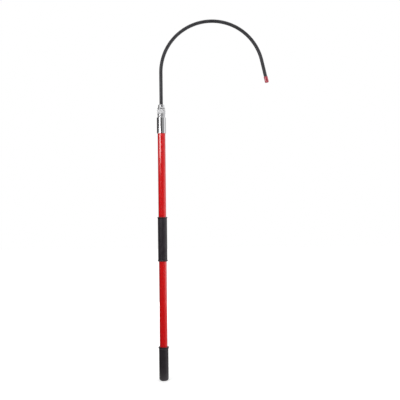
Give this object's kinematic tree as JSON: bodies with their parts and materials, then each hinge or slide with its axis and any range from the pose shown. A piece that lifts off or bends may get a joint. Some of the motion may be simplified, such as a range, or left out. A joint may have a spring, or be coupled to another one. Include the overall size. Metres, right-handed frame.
{
  "type": "rescue hook",
  "caption": "Rescue hook: a wide sleeved steel bow with a capped tip, screwed and locked on a foam-filled insulating pole with rubber grips.",
  "frame": {"origin": "centre of the end grip's flat butt face", "axes": "+Z along the pole, from the butt to the hook; +X from the pole towards the hook's tip; the hook bends in the XZ plane"},
  "size_m": [0.4666, 0.043, 1.4873],
  "materials": {
    "red_resin": "gloss",
    "foam": "matte",
    "nylon": "satin",
    "rubber": "matte",
    "chromed_steel": "polished",
    "satin_steel": "satin",
    "pin_steel": "satin",
    "black_sleeve": "satin",
    "red_vinyl": "satin"
  },
  "bodies": {
    "pole": {"pole_tube": "red_resin", "foam_core": "foam", "butt_plug": "nylon", "top_plug": "nylon", "end_grip": "rubber", "mid_grip": "rubber", "ferrule": "chromed_steel", "ferrule_pin_lower": "pin_steel", "ferrule_pin_upper": "pin_steel"},
    "hook": {"hook_socket": "chromed_steel", "rod_pin": "pin_steel", "hook_rod": "pin_steel", "hook_sleeve": "black_sleeve", "tip_cap": "red_vinyl"},
    "lock_ring": {"lock_ring": "satin_steel"}
  },
  "joints": [
    {"name": "hook_turn", "type": "hinge", "parent": "pole", "child": "hook", "pos_m": [0, 0, 1.0985], "axis": [0, 0, 1], "range_deg": [-180, 180]},
    {"name": "lock_ring_turn", "type": "hinge", "parent": "hook", "child": "lock_ring", "pos_m": [0, 0, 1.10855], "axis": [0, 0, 1], "range_deg": [0, 180]}
  ]
}
